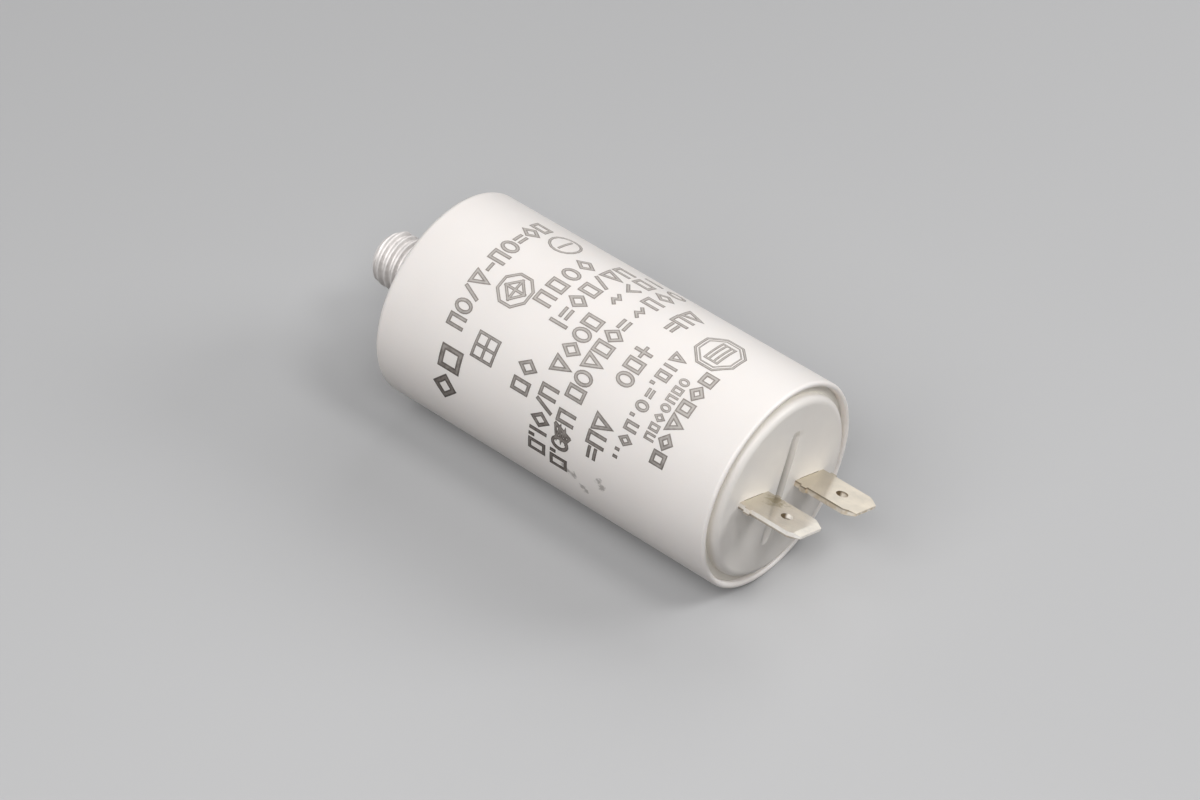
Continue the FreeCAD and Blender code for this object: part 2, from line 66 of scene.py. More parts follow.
# The tips of the terminals, whose row falls towards +Y
BLADE_LEFT = Vector(MOUNTS["terminal_left_blade"]["pos_m"])
BLADE_RIGHT = Vector(MOUNTS["terminal_right_blade"]["pos_m"])
ROW_TILT = math.atan2(BLADE_LEFT.z - BLADE_RIGHT.z, BLADE_RIGHT.y - BLADE_LEFT.y)

# The photograph's camera: its direction and distance from its aim, its lens, and how far to the
# right of its aim and above it the middle of the can lies
CAMERA_AZIMUTH = math.radians(40.74)
CAMERA_ELEVATION = math.radians(43.98)
CAMERA_DISTANCE = 589.9 * MM
CAMERA_LENS = 135.0
CAMERA_SENSOR = 36.0
CAMERA_CLIPPING = (0.01, 20.0)
MIDDLE_RIGHT_OF_AIM = 1.33 * MM
MIDDLE_ABOVE_AIM = 1.76 * MM

# Soft lights: name, place, diameter and power in watts
LIGHTS = (
    ("front", (0.3, -0.3, 0.5), 0.3, 1.42),
    ("side", (-0.02, -0.42, 0.45), 0.4, 1.45),
    ("back", (0.03, 0.45, 0.5), 0.5, 1.1),
    ("end", (0.35, 0.0, 0.5), 0.15, 0.69),
    ("corner", (0.45, 0.4, 0.35), 0.3, 1.45),
    ("base", (-0.45, -0.1, 0.08), 0.15, 0.22),
)
# The even light from all round, and how pale the camera and reflections see the background
WORLD_LIGHT = 0.05
WORLD_SEEN = 0.9
WHITE = (1.0, 1.0, 1.0, 1.0)

# The floor: half its width, its height, and how dark it is for the light that it throws up at the can
FLOOR_HALF = 3.0
FLOOR_LEVEL = CAN_LOW.z
FLOOR_BOUNCE = (0.15, 0.147, 0.145)

# Colours; a pair is the dark and the pale shade of a cloudy material
FLOOR_SHADES = ((0.49, 0.49, 0.495), (0.51, 0.51, 0.515))
CAN_SHADES = ((0.865, 0.82, 0.79), (0.895, 0.85, 0.82))
SMUDGE_COLOUR = (0.30, 0.27, 0.25)
LID_SHADES = ((0.79, 0.755, 0.72), (0.83, 0.795, 0.755))
MOAT_YELLOW = (0.80, 0.765, 0.70)
# The painted shade deep in the lid's groove
GROOVE_SHADE_COLOUR = (0.36, 0.34, 0.31)
STUD_SHADES = ((0.60, 0.575, 0.56), (0.67, 0.645, 0.63))
LEFT_TIN = ((0.80, 0.75, 0.675), (0.93, 0.875, 0.78))
RIGHT_TIN = ((0.79, 0.72, 0.61), (0.90, 0.815, 0.685))
# Painted reflection of the lid's shaded face near the foot of the blades
LID_REFLECTION_TIN = (0.60, 0.555, 0.46)
# Painted reflection of the lid's groove on the left blade
GROOVE_REFLECTION_COLOUR = (0.44, 0.38, 0.25)
# Painted highlight on a blade's stamped edges and on its hole's wall
STAMPED_EDGE_HIGHLIGHT = (0.97, 0.95, 0.92)
BARE_BRASS = (0.60, 0.49, 0.34)
# The painted shadow along the burr of a blade's stamped edge
BURR_SHADOW_COLOUR = (0.24, 0.19, 0.13)
# Painted shade on one side of a blade's hole
HOLE_SHADE_COLOUR = (0.20, 0.15, 0.095)
# Painted light and shade: ink turns from its pale shade over the top of the can to its dark one low on
# the side, between two angles from the top
INK_EDGE_SHADES = ((0.30, 0.268, 0.245), (0.055, 0.045, 0.038))
INK_FILL_SHADES = ((0.52, 0.485, 0.455), (0.12, 0.10, 0.088))
INK_SHADE_ANGLES = (math.radians(32), math.radians(85))

# Dirty marks low on the can's side: X, angle from the top and radius, in millimetres and degrees
SMUDGES = (
    (33.1, 90.2, 0.30), (33.9, 91.8, 0.40), (34.8, 92.6, 0.45), (36.4, 97.6, 0.42), (36.9, 99.6, 0.38),
    (39.1, 86.6, 0.42), (39.7, 89.6, 0.45),
)
SMUDGE_STRENGTH = 0.7

# The lid's moat is yellowed from this far below the rim
YELLOWED_DEPTH = 0.7 * MM
# The lid's groove: half its width, half its length, where it falls steeply on its left, and where it
# has run out on its right
GROOVE_HALF = 0.9 * MM
GROOVE_REACH = 8.4 * MM
GROOVE_STEEP = (-GROOVE_HALF - 0.1 * MM, -GROOVE_HALF + 0.3 * MM)
GROOVE_RUN_OUT = 2.2 * GROOVE_HALF
# Along X, the groove's painted shade is darkest at the first place and has ended at the second
GROOVE_SHADE_SPAN = (CAN_LENGTH - 0.6 * MM, CAN_LENGTH + 0.3 * MM)

# How far a normal points across the row of terminals on a blade's faces and on its stamped edges
STAMPED_FACING = (0.75, 0.3)
# A blade's hole: from its middle to the tip, how far from its middle what belongs to it ends, and how
# far along X its wall faces where its painted shade begins and where it is full
HOLE_TO_TIP = Vector((4.0 * MM, 0.0, 0.0))
HOLE_REACH = (1.1 * MM, 1.3 * MM)
HOLE_SHADE_FACING = (0.45, 0.75)
# The painted reflection of the lid is strongest at the first X and has ended from the second on
LID_REFLECTION_SPAN = (58.0 * MM, 62.0 * MM)
# A painted reflection of the lid's groove at the foot of the left blade, how far from its middle it fades,
# and its ragged rim
GROOVE_REFLECTION_PLACE = (59.3 * MM, -3.9 * MM, 2.05 * MM)
GROOVE_REFLECTION_REACH = (0.5 * MM, 1.7 * MM)
GROOVE_REFLECTION_RAGGED = 0.9 * MM
# The painted shadow of the burr begins and is full at these heights over the middle of a blade's thickness
BURR_SHADOW_SPAN = (0.12 * MM, 0.24 * MM)

# Sockets of Blender's Mix node that hold its two colours and the mixed one
MIX_FIRST, MIX_SECOND, MIX_RESULT = 6, 7, 2


def feed(tree, socket, content):
    """Give a socket another node's socket or a constant."""
    if isinstance(content, bpy.types.NodeSocket):
        tree.links.new(content, socket)
    else:
        socket.default_value = content


def node(tree, kind, inputs=None, **settings):
    """A shader node with its settings; an input is a number, a colour or another node's socket."""
    made = tree.nodes.new("ShaderNode" + kind)
    for name, setting in settings.items():
        setattr(made, name, setting)
    for name, content in (inputs or {}).items():
        feed(tree, made.inputs[name], content)
    return made


def new_material(name):
    """An empty material with a shader; returns the material, its tree and the shader."""
    material = bpy.data.materials.new(name)
    material.use_nodes = True
    tree = material.node_tree
    return material, tree, tree.nodes["Principled BSDF"]


def set_shader(tree, shader, **contents):
    """Fill the shader's own sockets; an underscore in a name stands for a space."""
    for name, content in contents.items():
        feed(tree, shader.inputs[name.replace("_", " ")], content)


def place(tree):
    """The surface point in the frame, in metres."""
    return node(tree, "TexCoord").outputs["Object"]


def parts(tree, vector):
    """A vector's parts, by their names X, Y and Z."""
    return node(tree, "SeparateXYZ", {0: vector}).outputs


def row_parts(tree, vector):
    """A vector's parts as seen from the row of terminals: Y along the row, Z across it."""
    turned = node(tree, "Mapping", {"Vector": vector, "Rotation": (ROW_TILT, 0.0, 0.0)},
                  vector_type="VECTOR").outputs[0]
    return parts(tree, turned)


def math_node(tree, operation, first, second=0.0):
    """A sum, product or other operation on one or two values."""
    return node(tree, "Math", {0: first, 1: second}, operation=operation).outputs[0]


def product(tree, first, second):
    """Two values multiplied."""
    return math_node(tree, "MULTIPLY", first, second)


def remap(tree, source, low, high, to_low=0.0, to_high=1.0):
    """A value moved from one span to another and held inside it."""
    return node(tree, "MapRange", {"Value": source, "From Min": low, "From Max": high,
                                   "To Min": to_low, "To Max": to_high}).outputs[0]


def blend(tree, factor, first, second):
    """Two colours mixed by a factor."""
    colours = [content if isinstance(content, bpy.types.NodeSocket) else (*content, 1.0)
               for content in (first, second)]
    mix = node(tree, "Mix", {0: factor, MIX_FIRST: colours[0], MIX_SECOND: colours[1]}, data_type="RGBA")
    return mix.outputs[MIX_RESULT]


def noise(tree, scale, detail=3.0, stretch=None):
    """Smooth noise, with its scale in features per millimetre and an optional stretch of the axes."""
    vector = place(tree)
    if stretch:
        vector = node(tree, "VectorMath", {0: vector, 1: stretch}, operation="MULTIPLY").outputs[0]
    return node(tree, "TexNoise", {"Vector": vector, "Scale": scale / MM, "Detail": detail}).outputs[0]


def cloud(tree, scale, low=0.0, high=1.0, spread=0.2, **kind):
    """Noise that fills a span of values; a small spread about its middle gives it sharper edges."""
    return remap(tree, noise(tree, scale, **kind), 0.5 - spread, 0.5 + spread, low, high)


def bump(tree, shader, height, distance):
    """Relief of a height of up to distance, in millimetres."""
    made = node(tree, "Bump", {"Height": height, "Distance": distance * MM})
    set_shader(tree, shader, Normal=made.outputs[0])


def distance_from(tree, point):
    """How far a surface point is from a point, in metres."""
    return node(tree, "VectorMath", {0: place(tree), 1: point}, operation="DISTANCE").outputs["Value"]


def angle_from_top(tree):
    """The angle of a surface point from the top of the can towards -Y, in radians."""
    here = parts(tree, place(tree))
    return math_node(tree, "ARCTAN2", product(tree, here["Y"], -1.0), here["Z"])


def round_from_top(angle):
    """Millimetres round the can's side from its top to an angle in degrees."""
    return math.radians(angle) * CAN_RADIUS / MM


def on_side(x, along, height):
    """A point over the can's side, in metres, from millimetres along X and round from the top."""
    radius = CAN_RADIUS + height * MM
    angle = along * MM / CAN_RADIUS
    return (x * MM, -radius * math.sin(angle), radius * math.cos(angle))


def smudge(tree, x, angle, size):
    """How much of a small ragged dirty mark on the can's side lies at a surface point."""
    ragged = cloud(tree, scale=2.5, low=-0.7 * size * MM, high=0.7 * size * MM, detail=5.0)
    middle = on_side(x, round_from_top(angle), 0.0)
    reach = math_node(tree, "ADD", distance_from(tree, middle), ragged)
    return remap(tree, reach, 0.6 * size * MM, 1.4 * size * MM, 1.0, 0.0)


def can_plastic():
    """Warm white moulded plastic, satin, with faint shade changes and a few dirty marks."""
    material, tree, shader = new_material("can_plastic")
    dirt_and_shade = smudge(tree, *SMUDGES[0])
    for mark in SMUDGES[1:]:
        dirt_and_shade = math_node(tree, "MAXIMUM", dirt_and_shade, smudge(tree, *mark))
    base = blend(tree, cloud(tree, scale=0.08), *CAN_SHADES)
    base = blend(tree, product(tree, dirt_and_shade, SMUDGE_STRENGTH), base, SMUDGE_COLOUR)
    set_shader(tree, shader, Base_Color=base, Roughness=cloud(tree, scale=0.4, low=0.40, high=0.48),
               Subsurface_Weight=0.12, Subsurface_Radius=(1.0, 0.85, 0.7), Subsurface_Scale=1.0 * MM)
    bump(tree, shader, noise(tree, scale=3.0), distance=0.01)
    return material


def groove_end(tree):
    """One along the lid's groove, nought beyond its two ends."""
    along = math_node(tree, "ABSOLUTE", row_parts(tree, place(tree))["Z"])
    return remap(tree, along, 0.9 * GROOVE_REACH, GROOVE_REACH, 1.0, 0.0)


def groove_relief(tree):
    """The lid's groove falls steeply on its left and runs out softly on its right."""
    across = row_parts(tree, place(tree))["Y"]
    left = remap(tree, across, *GROOVE_STEEP, 0.0, -1.0)
    right = remap(tree, across, GROOVE_STEEP[1], GROOVE_RUN_OUT)
    return product(tree, math_node(tree, "ADD", left, right), groove_end(tree))


def groove_painted_shade(tree):
    """How much painted shade lies at a point of the groove, more the deeper it is."""
    deep = remap(tree, parts(tree, place(tree))["X"], *GROOVE_SHADE_SPAN, 0.9, 0.0)
    aside = math_node(tree, "ABSOLUTE", row_parts(tree, place(tree))["Y"])
    inside = remap(tree, aside, GROOVE_HALF, 1.2 * GROOVE_HALF, 1.0, 0.0)
    return product(tree, product(tree, deep, inside), groove_end(tree))


def lid_plastic():
    """Plastic a little greyer than the can's, yellowed in the moat, with painted shade deep in the groove.
    """
    material, tree, shader = new_material("lid_plastic")
    base = blend(tree, cloud(tree, scale=0.15), *LID_SHADES)
    along = parts(tree, place(tree))["X"]
    yellowed = remap(tree, along, CAN_LENGTH - YELLOWED_DEPTH, CAN_LENGTH, 1.0, 0.0)
    base = blend(tree, yellowed, base, MOAT_YELLOW)
    # painted shade: the groove is darkened deep inside, where less light reaches
    base = blend(tree, groove_painted_shade(tree), base, GROOVE_SHADE_COLOUR)
    set_shader(tree, shader, Base_Color=base, Roughness=0.38, Subsurface_Weight=0.12,
               Subsurface_Radius=(1.0, 0.9, 0.8), Subsurface_Scale=1.0 * MM)
    fine = product(tree, noise(tree, scale=2.0), 0.03)
    bump(tree, shader, math_node(tree, "ADD", fine, groove_relief(tree)), distance=0.3)
    return material


def ink(name, shades):
    """Matt print ink, painted pale over the top of the can and dark low on its side as painted light and
    shade.
    """
    material, tree, shader = new_material(name)
    # painted light and shade: the ink is paler over the top and darker low on the side, where the can
    # turns from the light
    lower = remap(tree, angle_from_top(tree), *INK_SHADE_ANGLES)
    patchy = cloud(tree, scale=1.5, low=-0.15, high=0.15, spread=0.15)
    strength = math_node(tree, "ADD", lower, patchy)
    set_shader(tree, shader, Base_Color=blend(tree, strength, *shades), Roughness=0.6)
    return material


def metal(name, shades, roughness, grain, stretch=None, relief=0.003):
    """Metal whose colour and roughness, each a pair, change a little with its grain."""
    material, tree, shader = new_material(name)
    lines = cloud(tree, grain, stretch=stretch)
    set_shader(tree, shader, Base_Color=blend(tree, lines, *shades), Metallic=1.0,
               Roughness=remap(tree, lines, 0.0, 1.0, *roughness))
    bump(tree, shader, lines, relief)
    return material


def tin(tree, shades):
    """Cloudy tin, darkened near the lid by a painted reflection of the lid, with a brown painted
    reflection of the lid's groove at the foot of the left blade.
    """
    base = blend(tree, cloud(tree, scale=0.45, spread=0.15), *shades)
    # painted reflection: the tin is darker near the lid, where the blade mirrors the lid's shaded face
    lid_reflection = remap(tree, parts(tree, place(tree))["X"], *LID_REFLECTION_SPAN, 0.7, 0.0)
    base = blend(tree, lid_reflection, base, LID_REFLECTION_TIN)
    # painted reflection: a brown patch where the left blade mirrors the lid's groove
    ragged = cloud(tree, scale=1.4, low=-GROOVE_REFLECTION_RAGGED, high=GROOVE_REFLECTION_RAGGED)
    reach = math_node(tree, "ADD", distance_from(tree, GROOVE_REFLECTION_PLACE), ragged)
    return blend(tree, remap(tree, reach, *GROOVE_REFLECTION_REACH, 0.8, 0.0), base, GROOVE_REFLECTION_COLOUR)


def stamped_share(tree, facing):
    """One on a blade's stamped edges and in its hole, which don't face across the row; else nought."""
    across = math_node(tree, "ABSOLUTE", row_parts(tree, facing)["Z"])
    return remap(tree, across, *STAMPED_FACING)


def stamp(tree, stamped, base, bare, shadow_side):
    """The colour with its stamped edges: a painted highlight, rubbed to bare brass, and a painted shadow
    along the burr.

    bare is how much of the brass shows; the last argument is 1 for the burr's painted shadow on the upper
    side, -1 on the lower.
    """
    # painted highlight: the stamped edges and the hole's wall are made nearly white
    base = blend(tree, stamped, base, STAMPED_EDGE_HIGHLIGHT)
    rubbed = product(tree, stamped, cloud(tree, scale=1.2, low=0.5 * bare, high=bare, spread=0.1))
    base = blend(tree, rubbed, base, BARE_BRASS)
    # painted shadow: a dark line along the burr on one side of the stamped edge
    height = product(tree, row_parts(tree, place(tree))["Z"], shadow_side)
    burr = remap(tree, height, *BURR_SHADOW_SPAN, 0.0, 0.75)
    return blend(tree, product(tree, stamped, burr), base, BURR_SHADOW_COLOUR)


def terminal_metal(name, tip, shades, bare, shadow_side):
    """Tinned brass blade: drawn grain, stamped edges that show brass under painted light and shade, and
    painted shade on one side of its hole.
    """
    material, tree, shader = new_material(name)
    facing = node(tree, "NewGeometry").outputs["Normal"]
    stamped = stamped_share(tree, facing)
    hole = remap(tree, distance_from(tree, tip - HOLE_TO_TIP), *HOLE_REACH, 1.0, 0.0)
    wall = product(tree, stamped, hole)
    # painted shade on the side of the hole's wall that faces along +X
    dirt_and_shade = product(tree, wall, remap(tree, parts(tree, facing)["X"], *HOLE_SHADE_FACING))
    base = stamp(tree, stamped, tin(tree, shades), bare, shadow_side)
    base = blend(tree, dirt_and_shade, base, HOLE_SHADE_COLOUR)
    grain = cloud(tree, scale=2.5, spread=0.15, stretch=(0.08, 1.0, 1.0))
    rough = remap(tree, grain, 0.0, 1.0, to_low=0.15, to_high=0.23)
    for rougher in (stamped, wall):
        rough = math_node(tree, "ADD", rough, product(tree, rougher, 0.25))
    set_shader(tree, shader, Base_Color=base, Metallic=1.0, Roughness=rough)
    bump(tree, shader, grain, distance=0.001)
    return material


def plain(name, shades, roughness, scale, relief=0.01):
    """Matt material with a cloudy shade and a fine relief, for what is sealed inside the can."""
    material, tree, shader = new_material(name)
    clouds = cloud(tree, scale)
    set_shader(tree, shader, Base_Color=blend(tree, clouds, *shades), Roughness=roughness)
    bump(tree, shader, clouds, relief)
    return material


def seen(tree):
    """One where the camera or a reflection sees the surface, nought for the light that it passes on."""
    rays = node(tree, "LightPath").outputs
    direct = math_node(tree, "MAXIMUM", rays["Is Camera Ray"], rays["Is Glossy Ray"])
    return math_node(tree, "MAXIMUM", direct, rays["Is Transmission Ray"])


def floor_material():
    """Plain pale floor with a very faint shade change, which throws little light up at the can."""
    material, tree, shader = new_material("floor_pale")
    pale = blend(tree, cloud(tree, scale=0.004), *FLOOR_SHADES)
    set_shader(tree, shader, Base_Color=blend(tree, seen(tree), FLOOR_BOUNCE, pale), Roughness=0.7,
               Specular_IOR_Level=0.25)
    return material


def dress(material, *names):
    """Give CAD nodes their material."""
    for name in names:
        slots = frame["nodes"][name].data.materials
        slots.clear()
        slots.append(material)


def dress_outside():
    """A material on each CAD node that shows."""
    dress(can_plastic(), "can")
    dress(lid_plastic(), "lid")
    dress(terminal_metal("left_terminal_metal", BLADE_LEFT, LEFT_TIN, bare=0.3, shadow_side=-1.0),
          "terminal_left")
    dress(terminal_metal("right_terminal_metal", BLADE_RIGHT, RIGHT_TIN, bare=0.8, shadow_side=1.0),
          "terminal_right")


def dress_inside():
    """A material on each CAD node that is sealed in the can."""
    dress(metal("solder", ((0.60, 0.60, 0.58), (0.72, 0.72, 0.70)), roughness=(0.3, 0.45), grain=1.5),
          "solder_contact_left", "solder_contact_right", "solder_terminal_left", "solder_terminal_right")
    dress(metal("lead_metal", ((0.70, 0.68, 0.63), (0.80, 0.78, 0.73)), roughness=(0.2, 0.3), grain=2.0),
          "lead_short", "lead_long")
    dress(metal("sprayed_metal", ((0.50, 0.50, 0.49), (0.64, 0.64, 0.62)), roughness=(0.6, 0.8), grain=4.0,
                relief=0.03), "contact_base_end", "contact_lid_end")
    dress(metal("film", ((0.62, 0.64, 0.66), (0.76, 0.78, 0.80)), roughness=(0.2, 0.3), grain=6.0,
                stretch=(0.05, 1.0, 1.0)), "film_winding")
    dress(plain("wrap_film", ((0.76, 0.75, 0.68), (0.84, 0.83, 0.77)), roughness=0.3, scale=0.3),
          "winding_wrap")
    dress(plain("core_plastic", ((0.70, 0.70, 0.67), (0.76, 0.76, 0.73)), roughness=0.5, scale=0.5),
          "winding_core")
    dress(plain("sleeve_plastic", ((0.80, 0.77, 0.65), (0.87, 0.84, 0.73)), roughness=0.35, scale=1.0),
          "lead_sleeve")
    dress(plain("resin", ((0.20, 0.17, 0.13), (0.28, 0.25, 0.20)), roughness=0.45, scale=0.2, relief=0.05),
          "potting_resin")


def mesh_piece(name, vertices, faces, material, slot_name, smooth=True):
    """A piece from vertices in metres that rides with the one body."""
    mesh = bpy.data.meshes.new(name)
    mesh.from_pydata(vertices, [], faces)
    mesh.materials.append(material)
    mesh.polygons.foreach_set("use_smooth", [smooth] * len(mesh.polygons))
    mesh.update()
    piece = bpy.data.objects.new(name, mesh)
    bpy.context.scene.collection.objects.link(piece)
    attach(piece, "root")
    return piece


# The stud: a coarse rolled thread, a chamfered end, and its head in the base. A flatness over 1 gives
# the thread's crests and roots a narrow flat.
THREAD_PITCH = 1.25 * MM
THREAD_DEPTH = 0.5 * MM
THREAD_FLATNESS = 1.15
THREAD_CHAMFER = 1.2 * MM
THREAD_ROWS_PER_PITCH = 20
THREAD_SEGMENTS = 96
COLLAR_RADIUS = 4.2 * MM
HEAD_FLATS = 13.0 * MM
HEAD_START = 2.5 * MM
HEAD_END = 5.5 * MM
SHARP_EDGE = math.radians(50)


def thread_drop(phase):
    """How deep the thread is at a share of its pitch, from 0 on the crest to 1 in the root."""
    wave = 0.5 - 0.5 * math.cos(math.tau * phase)
    return min(1.0, max(0.0, 0.5 + (wave - 0.5) * THREAD_FLATNESS))


def stud_rings():
    """The angles round the stud, and rings from its tip to its head: an X and a radius for each angle."""
    angles = [math.tau * step / THREAD_SEGMENTS for step in range(THREAD_SEGMENTS)]
    rows = round(-STUD_TIP / THREAD_PITCH * THREAD_ROWS_PER_PITCH)
    rings = []
    for row in range(rows + 1):
        x = STUD_TIP * (1 - row / rows)
        limit = STUD_RADIUS - THREAD_CHAMFER + (x - STUD_TIP)
        radii = []
        for angle in angles:
            drop = thread_drop(x / THREAD_PITCH + angle / math.tau)
            radii.append(min(STUD_RADIUS - THREAD_DEPTH * drop, limit))
        rings.append((x, radii))
    for x in (0.0, HEAD_START):
        rings.append((x, [COLLAR_RADIUS] * THREAD_SEGMENTS))
    # a flat of the hexagon lies within 30 degrees of its middle on either side
    half_flat = math.pi / 6
    hexagon = [HEAD_FLATS / 2 / math.cos((angle + half_flat) % (2 * half_flat) - half_flat)
               for angle in angles]
    for x in (HEAD_START, HEAD_END):
        rings.append((x, hexagon))
    return angles, rings


def make_stud(material):
    """The threaded stud, in the place of its plain solid."""
    angles, rings = stud_rings()
    vertices = []
    for x, radii in rings:
        vertices += [(x, radius * math.sin(angle), radius * math.cos(angle))
                     for angle, radius in zip(angles, radii)]
    faces = []
    for row in range(len(rings) - 1):
        for column in range(THREAD_SEGMENTS):
            after = (column + 1) % THREAD_SEGMENTS
            low, high = row * THREAD_SEGMENTS, (row + 1) * THREAD_SEGMENTS
            faces.append((low + column, low + after, high + after, high + column))
    # a fan of faces closes each end
    for x, first, turn in ((rings[0][0], 0, 1), (rings[-1][0], len(vertices) - THREAD_SEGMENTS, -1)):
        vertices.append((x, 0.0, 0.0))
        for column in range(THREAD_SEGMENTS):
            ends = (first + (column + 1) % THREAD_SEGMENTS, first + column)[::turn]
            faces.append((len(vertices) - 1, *ends))
    stud = mesh_piece("threaded_stud", vertices, faces, material, "stud_metal")
    stud.data.set_sharp_from_angle(angle=SHARP_EDGE)
    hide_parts("mounting_stud")


# The print: plain shapes, drawn as strokes in a box 1 high, with 0 to 1 across the shape's own width.
# A stroke is closed or open, and its points read along the row and up towards the lid.
CLOSED, OPEN = True, False
RING_TURNS = [math.tau * step / 16 for step in range(16)]
RING = [(0.5 - 0.5 * math.cos(turn), 0.5 + 0.5 * math.sin(turn)) for turn in RING_TURNS]
BOX = [(0.0, 0.0), (1.0, 0.0), (1.0, 1.0), (0.0, 1.0)]
DIAMOND = [(0.5, 0.0), (1.0, 0.5), (0.5, 1.0), (0.0, 0.5)]
OCTAGON = [(0.3, 0.0), (0.7, 0.0), (1.0, 0.3), (1.0, 0.7), (0.7, 1.0), (0.3, 1.0), (0.0, 0.7), (0.0, 0.3)]
CROSS = [(OPEN, [(0.0, 0.5), (1.0, 0.5)]), (OPEN, [(0.5, 0.0), (0.5, 1.0)])]
BARS = [(OPEN, [(0.0, 0.3), (1.0, 0.3)]), (OPEN, [(0.0, 0.7), (1.0, 0.7)])]
SMEAR = [(OPEN, [(0.1, 0.0), (0.9, 0.2), (0.0, 0.3), (1.0, 0.5), (0.1, 0.62), (0.9, 0.8), (0.5, 1.0)])]
# Each shape's code in a row, its width as a share of its height, and its strokes
SHAPES = {
    "o": (0.66, [(CLOSED, RING)]),
    "b": (0.58, [(CLOSED, BOX)]),
    "d": (0.70, [(CLOSED, DIAMOND)]),
    "t": (0.74, [(CLOSED, [(0.0, 0.0), (1.0, 0.0), (0.5, 1.0)])]),
    "l": (0.12, [(OPEN, [(0.5, 0.0), (0.5, 1.0)])]),
    "u": (0.56, [(OPEN, [(0.0, 1.0), (0.0, 0.0), (1.0, 0.0), (1.0, 1.0)])]),
    ">": (0.50, [(OPEN, [(0.0, 0.9), (1.0, 0.5), (0.0, 0.1)])]),
    "~": (0.70, [(OPEN, [(0.0, 0.4), (0.35, 0.65), (0.65, 0.35), (1.0, 0.6)])]),
    "/": (0.42, [(OPEN, [(0.0, 0.0), (1.0, 1.0)])]),
    "-": (0.40, [(OPEN, [(0.0, 0.5), (1.0, 0.5)])]),
    "=": (0.50, BARS),
    "+": (0.60, CROSS),
    ".": (0.10, [(OPEN, [(0.5, 0.0), (0.5, 0.18)])]),
    " ": (0.35, []),
}
# The rows: X and angle of the first and the last shape's middle, height, and the shapes in order
PRINT_ROWS = (
    (11.2, -23.5, 11.7, 49.5, 2.3, "bd=ou-t/ou"),
    (20.9, -14.0, 20.9, 17.0, 2.4, "dobu"),
    (24.8, -27.0, 24.8, 24.5, 2.4, "ut/bd=l"),
    (24.3, 51.0, 24.3, 61.2, 2.4, "db"),
    (28.2, -36.0, 28.4, -4.0, 2.4, "lb>~"),
    (28.6, 15.0, 28.6, 88.0, 2.4, "bodt u/dl.b"),
    (32.0, -36.0, 32.3, -4.0, 2.4, "odu~"),
    (32.3, 7.5, 32.3, 90.0, 2.4, "=dbtob u/o.b"),
    (37.4, -22.5, 37.2, -6.5, 2.4, "tu="),
    (37.2, 15.0, 37.5, 31.5, 2.3, "+bo"),
    (37.7, 56.5, 37.4, 73.0, 2.5, "tu="),
    (41.6, 8.5, 41.6, 67.5, 1.65, "tlb.=o.ud.."),
    (44.6, 18.0, 44.6, 49.5, 1.25, "obuodbu"),
)
# Bold outlined shapes in a row of their own, wider than the rest
BOLD_ROW = (47.0, 10.5, 47.0, 57.0, 1.65, "bdbtdb")
BOLD_WIDTH = 0.62
BOLD_STRETCH = 1.45
# A stroke's greatest width, its greatest share of a row's height, and its paler fill's share of it
STROKE_WIDTH = 0.54
STROKE_SHARE = 0.28
FILL_SHARE = 0.42
# Larger marks: X, angle, height, width of stroke, share of the height that is its width, and strokes
PRINT_MARKS = (
    (16.65, 21.0, 4.65, 0.44, 1.0, [(CLOSED, OCTAGON)]),
    (16.65, 21.0, 3.2, 0.42, 1.0, [(CLOSED, DIAMOND), *CROSS]),
    (15.9, -21.0, 4.3, 0.40, 1.0, [(CLOSED, RING), (OPEN, [(0.2, 0.5), (0.8, 0.5)])]),
    (17.35, 54.0, 3.3, 0.45, 1.0, [(CLOSED, BOX), *CROSS]),
    (12.8, 68.8, 2.9, 0.80, 0.9, [(CLOSED, BOX)]),
    (12.6, 85.5, 3.0, 0.80, 1.0, [(CLOSED, DIAMOND)]),
    (44.95, -7.9, 6.2, 0.38, 1.04, [(CLOSED, OCTAGON)]),
    (44.95, -7.9, 5.2, 0.22, 1.04, [(CLOSED, OCTAGON)]),
    (44.95, -7.9, 2.0, 0.34, 1.9, [(CLOSED, BOX), *BARS]),
    (32.4, 73.0, 2.6, 0.42, 0.8, SMEAR),
)
# How high a stroke's edge and fill stand on the can's side, how deep they reach into it, and the
# longest step along a stroke
EDGE_HEIGHT = 0.02
FILL_HEIGHT = 0.04
INK_ROOT = 0.03
STROKE_STEP = 0.6
# Half a stroke's width is divided by this or more where its edges meet at a sharp corner
MITRE_LIMIT = 0.4


def fine_points(points, closed):
    """A stroke's points with more between them where they lie far apart."""
    ends = points[1:] + points[:1] if closed else points[1:]
    fine = []
    for start, end in zip(points, ends):
        pieces = max(1, math.ceil(math.dist(start, end) / STROKE_STEP))
        fine += [tuple(a + (b - a) * step / pieces for a, b in zip(start, end)) for step in range(pieces)]
    return fine if closed else fine + [points[-1]]


def stroke_edges(points, closed, width):
    """The two edges of a stroke, with mitred corners, and square ends where it is open."""
    count = len(points)
    left, right = [], []
    for index, point in enumerate(points):
        before = Vector(points[index - 1] if closed or index else point)
        after = Vector(points[(index + 1) % count] if closed or index < count - 1 else point)
        here = Vector(point)
        first = (here - before if here != before else after - here).normalized()
        second = (after - here if after != here else here - before).normalized()
        across = (first + second).normalized().orthogonal()
        reach = width / 2 / max(MITRE_LIMIT, across.dot(first.orthogonal()))
        if not closed and index in (0, count - 1):
            here = here + first * (-width / 2 if index == 0 else width / 2)
        left.append(here + across * reach)
        right.append(here - across * reach)
    return left, right


